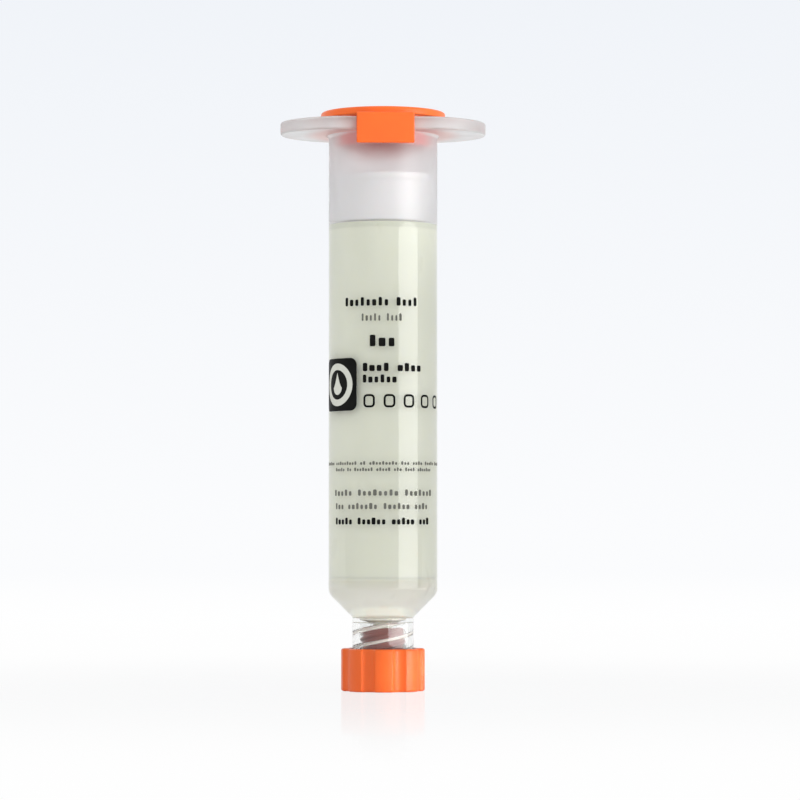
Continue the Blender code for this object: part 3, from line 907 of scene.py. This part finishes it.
def principled(nodes, links, placed, bumped, colour, settings):
    """A Principled shader with a colour, the skin's roughness and normal, and other settings."""
    shader = nodes.new("ShaderNodeBsdfPrincipled")
    for name, value in settings.items():
        shader.inputs[name].default_value = value
    links.new(colour, shader.inputs["Base Color"])
    links.new(placed.outputs["Roughness"], shader.inputs["Roughness"])
    links.new(bumped.outputs["Normal"], shader.inputs["Normal"])
    return shader.outputs["BSDF"]


def show(nodes, links, shader, kind="ShaderNodeOutputMaterial"):
    """Shows a shader as the surface of a material or of the world."""
    output = nodes.new(kind)
    links.new(shader, output.inputs["Surface"])


def plastic(name, skin, colour, deep, subsurface=0.0, shine=0.5, **values):
    """A solid moulded plastic with the skin's colour, gloss and grain. Shine is the strength of
    its reflection: 0.5 is that of its IOR."""
    material, nodes, links = new_material(name)
    placed, bumped = skin_nodes(material, skin, colour, deep, **values)
    settings = {
        "IOR": 1.5,
        "Specular IOR Level": shine,
        "Subsurface Weight": subsurface,
        "Subsurface Radius": (1.0, 0.6, 0.4),
        "Subsurface Scale": 0.001,
    }
    colour = placed.outputs["Colour"]
    show(nodes, links, principled(nodes, links, placed, bumped, colour, settings))
    return material


def clear_plastic(
    name, skin, transmission, dimmed, smoothest, roughest, bump=0.06,
    colour=(0.95, 0.955, 0.95), deep=(0.91, 0.92, 0.915), painted_cap_glow=None,
):
    """Clear natural plastic, slightly milky. Lamps and bounced light pass straight through it,
    dimmed, so that they reach the paste. A roughness below 0.27 counts as clear when the picture
    is smoothed, so a plastic's two roughnesses lie on one side of it. A painted cap glow is
    painted
    light: a warm colour mixed into the base colour near the axis, standing in for the light that
    the orange cap throws into the plastic, with the distances from the axis where it is full and
    gone."""
    material, nodes, links = new_material(name)
    placed, bumped = skin_nodes(
        material, skin, colour, deep, stretch=(1, 1, 0.15),
        bump=bump, cloud_scale=180.0, grain_scale=900.0, smoothest=smoothest, roughest=roughest,
    )
    through = nodes.new("ShaderNodeBsdfTransparent")
    through.inputs["Color"].default_value = (*dimmed, 1)
    base = placed.outputs["Colour"]
    # Painted light: the orange cap's warm glow, mixed into the base colour near the axis.
    if painted_cap_glow:
        painted_warm_light, full, gone = painted_cap_glow
        where = nodes.new("ShaderNodeTexCoord")
        flat = nodes.new("ShaderNodeVectorMath")
        flat.operation = "MULTIPLY"
        flat.inputs[1].default_value = (1, 1, 0)
        links.new(where.outputs["Object"], flat.inputs[0])
        away = length(nodes, links, flat.outputs["Vector"])
        near = ramp(nodes, links, away, full, gone, 1.0, 0.0, smooth=True)
        base = blend(nodes, links, near, base, painted_warm_light)
    settings = {"IOR": 1.49, "Transmission Weight": transmission}
    glass = principled(nodes, links, placed, bumped, base, settings)
    path = nodes.new("ShaderNodeLightPath")
    shadow, diffuse = path.outputs["Is Shadow Ray"], path.outputs["Is Diffuse Ray"]
    either = math_node(nodes, links, "MAXIMUM", shadow, diffuse)
    show(nodes, links, mix_shaders(nodes, links, either, glass, through.outputs["BSDF"]))
    return material


def ink(name, skin, colour, worn):
    """Screen ink: an even film with faint clouds, duller where it is thin."""
    return plastic(name, skin, colour, worn, shine=0.03, cloud_scale=400.0, grain_scale=6000.0,
                   smoothest=0.3, roughest=0.5)


def paste(skin):
    """Smooth pale paste with soft clouds. Painted shade makes it a little darker and greener in
    the first millimetre under the piston, and painted light makes it lighter in the cone."""
    material, nodes, links = new_material("flux_paste")
    placed, bumped = skin_nodes(
        material, skin, (0.73, 0.735, 0.6), (0.7, 0.71, 0.575), stretch=(1, 1, 0.6),
        bump=0.05, cloud_scale=150.0, grain_scale=1200.0, smoothest=0.25, roughest=0.4,
    )
    stored = nodes.new("ShaderNodeAttribute")
    stored.attribute_name = "paste_depth"
    depth = stored.outputs["Fac"]
    # Painted shade: darker and a little greener in the first millimetre under the piston.
    painted_shade_under_piston = ramp(nodes, links, depth, 0.001, 0.0014, 0.14, 0.0)
    colour = blend(nodes, links, painted_shade_under_piston, placed.outputs["Colour"], (0.0, 0.05, 0.0), "MULTIPLY")
    # Painted light: the paste is lighter in the cone, which gets less light.
    below = ramp(nodes, links, depth, 0.06, 0.0635, 0.0, 0.8, smooth=True)
    colour = blend(nodes, links, below, colour, (0.93, 0.935, 0.83))
    settings = {
        "IOR": 1.45,
        "Subsurface Weight": 0.3,
        "Subsurface Radius": (1.0, 0.9, 0.6),
        "Subsurface Scale": 0.002,
    }
    show(nodes, links, principled(nodes, links, placed, bumped, colour, settings))
    return material


# Studio


def aim(thing, target):
    """Turns a lamp or the camera so that its -Z looks at a point."""
    away = Vector(target) - thing.location
    thing.rotation_euler = away.to_track_quat("-Z", "Y").to_euler()


def place_camera():
    """The camera at the photograph's angle: the syringe's axis falls on its own column."""
    camera = put("camera", bpy.data.cameras.new("camera"))
    bpy.context.scene.camera = camera
    right = Vector((math.cos(CAMERA_TURN), math.sin(CAMERA_TURN), 0))
    back = Vector((math.sin(CAMERA_TURN), -math.cos(CAMERA_TURN), 0))
    half = PICTURE_SIDE / 2
    aside = right * (half - AXIS_COLUMN) * METRES_PER_PIXEL
    middle = (GROUND_ROW - half) * METRES_PER_PIXEL
    camera.location = back * CAMERA_DISTANCE + Vector((0, 0, EYE_Z))
    camera.data.sensor_width = SENSOR_WIDTH
    camera.data.lens = SENSOR_WIDTH * CAMERA_DISTANCE / (PICTURE_SIDE * METRES_PER_PIXEL)
    camera.data.clip_start = 0.01
    camera.data.clip_end = 20
    aim(camera, aside + Vector((0, 0, middle)))


def seen_rays(nodes, links):
    """A mask of the rays that see the surroundings as the picture's background, and one of those
    that come off gloss, not through glass."""
    path = nodes.new("ShaderNodeLightPath")
    through = path.outputs["Is Transmission Ray"]
    seen = math_node(nodes, links, "MAXIMUM", path.outputs["Is Camera Ray"], through)
    seen = math_node(nodes, links, "MAXIMUM", seen, path.outputs["Is Glossy Ray"])
    gloss = math_node(nodes, links, "SUBTRACT", path.outputs["Is Glossy Ray"], through)
    gloss = math_node(nodes, links, "MAXIMUM", gloss, 0.0)
    return seen, gloss


def front_gloss(nodes, links, gloss, forward, start, end):
    """Brightness of the surroundings: 1, but in gloss it falls to GLOSS_FRONT towards the front,
    as the studio behind the camera is dark."""
    fall = ramp(nodes, links, forward, start, end, 0.0, 1.0 - GLOSS_FRONT, smooth=True)
    fall = math_node(nodes, links, "MULTIPLY", fall, gloss)
    return math_node(nodes, links, "SUBTRACT", 1.0, fall)


def pale_world():
    """Studio light that is brightest in front. What is seen behind, and in gloss and glass, is a
    pale blue white that turns to white downwards."""
    world = bpy.data.worlds.new("studio")
    bpy.context.scene.world = world
    world.use_nodes = True
    nodes, links = world.node_tree.nodes, world.node_tree.links
    nodes.clear()
    where = nodes.new("ShaderNodeTexCoord")
    parts = nodes.new("ShaderNodeSeparateXYZ")
    links.new(where.outputs["Generated"], parts.inputs["Vector"])
    rise = ramp(nodes, links, parts.outputs["Z"], 0.0, 0.16, 0.0, 1.0)
    mask, gloss = seen_rays(nodes, links)
    bright = front_gloss(nodes, links, gloss, parts.outputs["Y"], 0.1, -0.8)
    seen = nodes.new("ShaderNodeBackground")
    links.new(blend(nodes, links, rise, HORIZON, SKY), seen.inputs["Color"])
    links.new(bright, seen.inputs["Strength"])
    lit = nodes.new("ShaderNodeBackground")
    lit.inputs["Color"].default_value = (0.985, 0.992, 1.0, 1)
    side = nodes.new("ShaderNodeVectorMath")
    side.operation = "DOT_PRODUCT"
    side.inputs[1].default_value = (-0.3, -0.95, 0.0)
    links.new(where.outputs["Generated"], side.inputs[0])
    strength = ramp(nodes, links, side.outputs["Value"], -0.3, 0.9, BACK_LIGHT, FRONT_LIGHT)
    links.new(strength, lit.inputs["Strength"])
    shown = mix_shaders(nodes, links, mask, lit.outputs["Background"], seen.outputs["Background"])
    show(nodes, links, shown, "ShaderNodeOutputWorld")


def pale_floor():
    """A white floor that keeps a faint shadow and, near the syringe, a faint reflection. Away
    from the syringe it turns to the colour of the background at the horizon."""
    half = FLOOR_SIDE / 2
    mesh = bpy.data.meshes.new("floor")
    corners = [(-half, -half, 0), (half, -half, 0), (half, half, 0), (-half, half, 0)]
    mesh.from_pydata(corners, [], [(0, 1, 2, 3)])
    material, nodes, links = new_material("pale_floor")
    where = nodes.new("ShaderNodeTexCoord")
    parts = nodes.new("ShaderNodeSeparateXYZ")
    links.new(where.outputs["Object"], parts.inputs["Vector"])
    away = length(nodes, links, where.outputs["Object"])
    mirror = ramp(nodes, links, away, 0.02, 0.2, FLOOR_MIRROR, 0.0, smooth=True)
    far = ramp(nodes, links, away, 0.1, 2.0, 0.0, 1.0, smooth=True)
    shadow = ramp(nodes, links, away, 0.05, 0.5, FLOOR_SHADOW, 0.0)
    mask, gloss = seen_rays(nodes, links)
    bright = front_gloss(nodes, links, gloss, parts.outputs["Y"], -0.01, -0.14)
    white = nodes.new("ShaderNodeEmission")
    links.new(blend(nodes, links, far, (1.0, 1.0, 1.0), HORIZON), white.inputs["Color"])
    links.new(bright, white.inputs["Strength"])
    lit = nodes.new("ShaderNodeBsdfDiffuse")
    lit.inputs["Color"].default_value = (0.9, 0.9, 0.9, 1)
    bounce = nodes.new("ShaderNodeBsdfDiffuse")
    bounce.inputs["Color"].default_value = (0.97, 0.97, 0.97, 1)
    sheen = nodes.new("ShaderNodeBsdfGlossy")
    sheen.inputs["Roughness"].default_value = 0.05
    shown = mix_shaders(nodes, links, shadow, white.outputs["Emission"], lit.outputs["BSDF"])
    shown = mix_shaders(nodes, links, mirror, shown, sheen.outputs["BSDF"])
    shown = mix_shaders(nodes, links, mask, bounce.outputs["BSDF"], shown)
    show(nodes, links, shown)
    mesh.materials.append(material)
    floor = put("floor", mesh)


def key_lamp(name, turn, span, distance, low, high, radiance, beam=180, matt=True, gloss=True):
    """A rectangular lamp that covers a span of directions round the syringe, in degrees from the
    camera towards its right, between two heights: width = 2 * distance * tan(span / 2), and
    power = radiance * pi * area. Its grid narrows its beam. It may light only matt surfaces, or
    show only in gloss, and never shows through glass."""
    turn = math.radians(turn) + CAMERA_TURN
    middle = (low + high) / 2
    width = 2 * distance * math.tan(math.radians(span) / 2)
    data = bpy.data.lights.new(name, "AREA")
    data.shape = "RECTANGLE"
    data.size, data.size_y = width, high - low
    data.energy = radiance * math.pi * width * (high - low)
    data.spread = math.radians(beam)
    lamp = put(name, data)
    lamp.location = (distance * math.sin(turn), -distance * math.cos(turn), middle)
    aim(lamp, (0, 0, middle))
    lamp.visible_camera = False
    lamp.visible_diffuse = matt
    lamp.visible_glossy = gloss
    lamp.visible_transmission = False


def main():
    """Makes the pieces with their materials, then the studio."""
    bpy.context.scene.view_settings.view_transform = "Standard"
    place_camera()
    skin = moulded_skin_group()
    make_barrel(
        clear_plastic("clear_collar_plastic", skin, 0.98, (0.93, 0.92, 0.91), 0.0, 0.03, 0.02),
        clear_plastic("clear_tube_plastic", skin, 0.95, (0.96, 0.96, 0.95), 0.02, 0.06),
        clear_plastic("frosted_tube_plastic", skin, 0.91, (0.93, 0.92, 0.92), 0.29, 0.36,
                      colour=(0.9, 0.885, 0.88), deep=(0.87, 0.85, 0.845)),
        # The flange plastic has a painted warm glow near the axis, standing in for light from the
        # orange cap.
        clear_plastic("frosted_flange_plastic", skin, 0.84, (0.93, 0.92, 0.92), 0.32, 0.4,
                      colour=(0.865, 0.9, 0.895), deep=(0.84, 0.87, 0.865),
                      painted_cap_glow=((0.8, 0.5, 0.45), 0.0105, 0.0145)),
        # Milky thread crest, painted a lighter cream as a highlight.
        clear_plastic("milky_highlight_collar_plastic", skin, 0.4, (0.93, 0.91, 0.88), 0.29, 0.35,
                      colour=(0.97, 0.95, 0.88), deep=(0.94, 0.92, 0.85)),
    )
    make_flux(paste(skin))
    make_piston(
        plastic("white_polyethylene", skin, (0.83, 0.85, 0.855), (0.8, 0.82, 0.825),
                subsurface=0.2, cloud_scale=120.0, smoothest=0.35, roughest=0.5)
    )
    make_end_cap(
        plastic("orange_polyethylene", skin, (0.92, 0.155, 0.02), (0.88, 0.14, 0.016),
                subsurface=0.1, shine=0.35, cloud_scale=140.0, smoothest=0.32, roughest=0.45),
        # Painted backlight: a pinker copy of the orange, as the glow of light through the plastic,
        # for the plug and the clips' inner faces.
        plastic("painted_backlit_orange_polyethylene", skin, (0.72, 0.08, 0.065), (0.68, 0.07, 0.055),
                cloud_scale=140.0, smoothest=0.32, roughest=0.45),
    )
    make_tip_cap(
        plastic("orange_polypropylene", skin, (0.74, 0.12, 0.016), (0.7, 0.11, 0.012),
                subsurface=0.1, shine=0.35, cloud_scale=140.0, smoothest=0.34, roughest=0.42),
        plastic("shaded_orange_polypropylene", skin, (0.2, 0.022, 0.008), (0.16, 0.018, 0.007),
                cloud_scale=140.0, smoothest=0.3, roughest=0.38),
    )
    make_print(
        ink("black_ink", skin, (0.006, 0.006, 0.006), (0.012, 0.012, 0.011)),
        ink("grey_ink", skin, (0.13, 0.13, 0.11), (0.17, 0.17, 0.15)),
        ink("pale_ink", skin, (0.66, 0.665, 0.6), (0.6, 0.605, 0.54)),
    )
    pale_floor()
    pale_world()
    key_lamp("key", 55, 45, 2.0, 0.0, 0.27, 2.7, gloss=False)
    key_lamp("low_strip", 64, 80, 0.042, 0.0, 0.007, 1.7, beam=25, gloss=False)
    key_lamp("high_strip", 66, 60, 0.05, 0.081, 0.112, 0.6, beam=60, gloss=False)
    key_lamp("barrel_sheen", 55, 45, 0.3, 0.0, 0.106, 3.3, matt=False)
    key_lamp("collar_sheen", 61, 84, 0.1, 0.0042, 0.0084, 6.0, matt=False)


main()
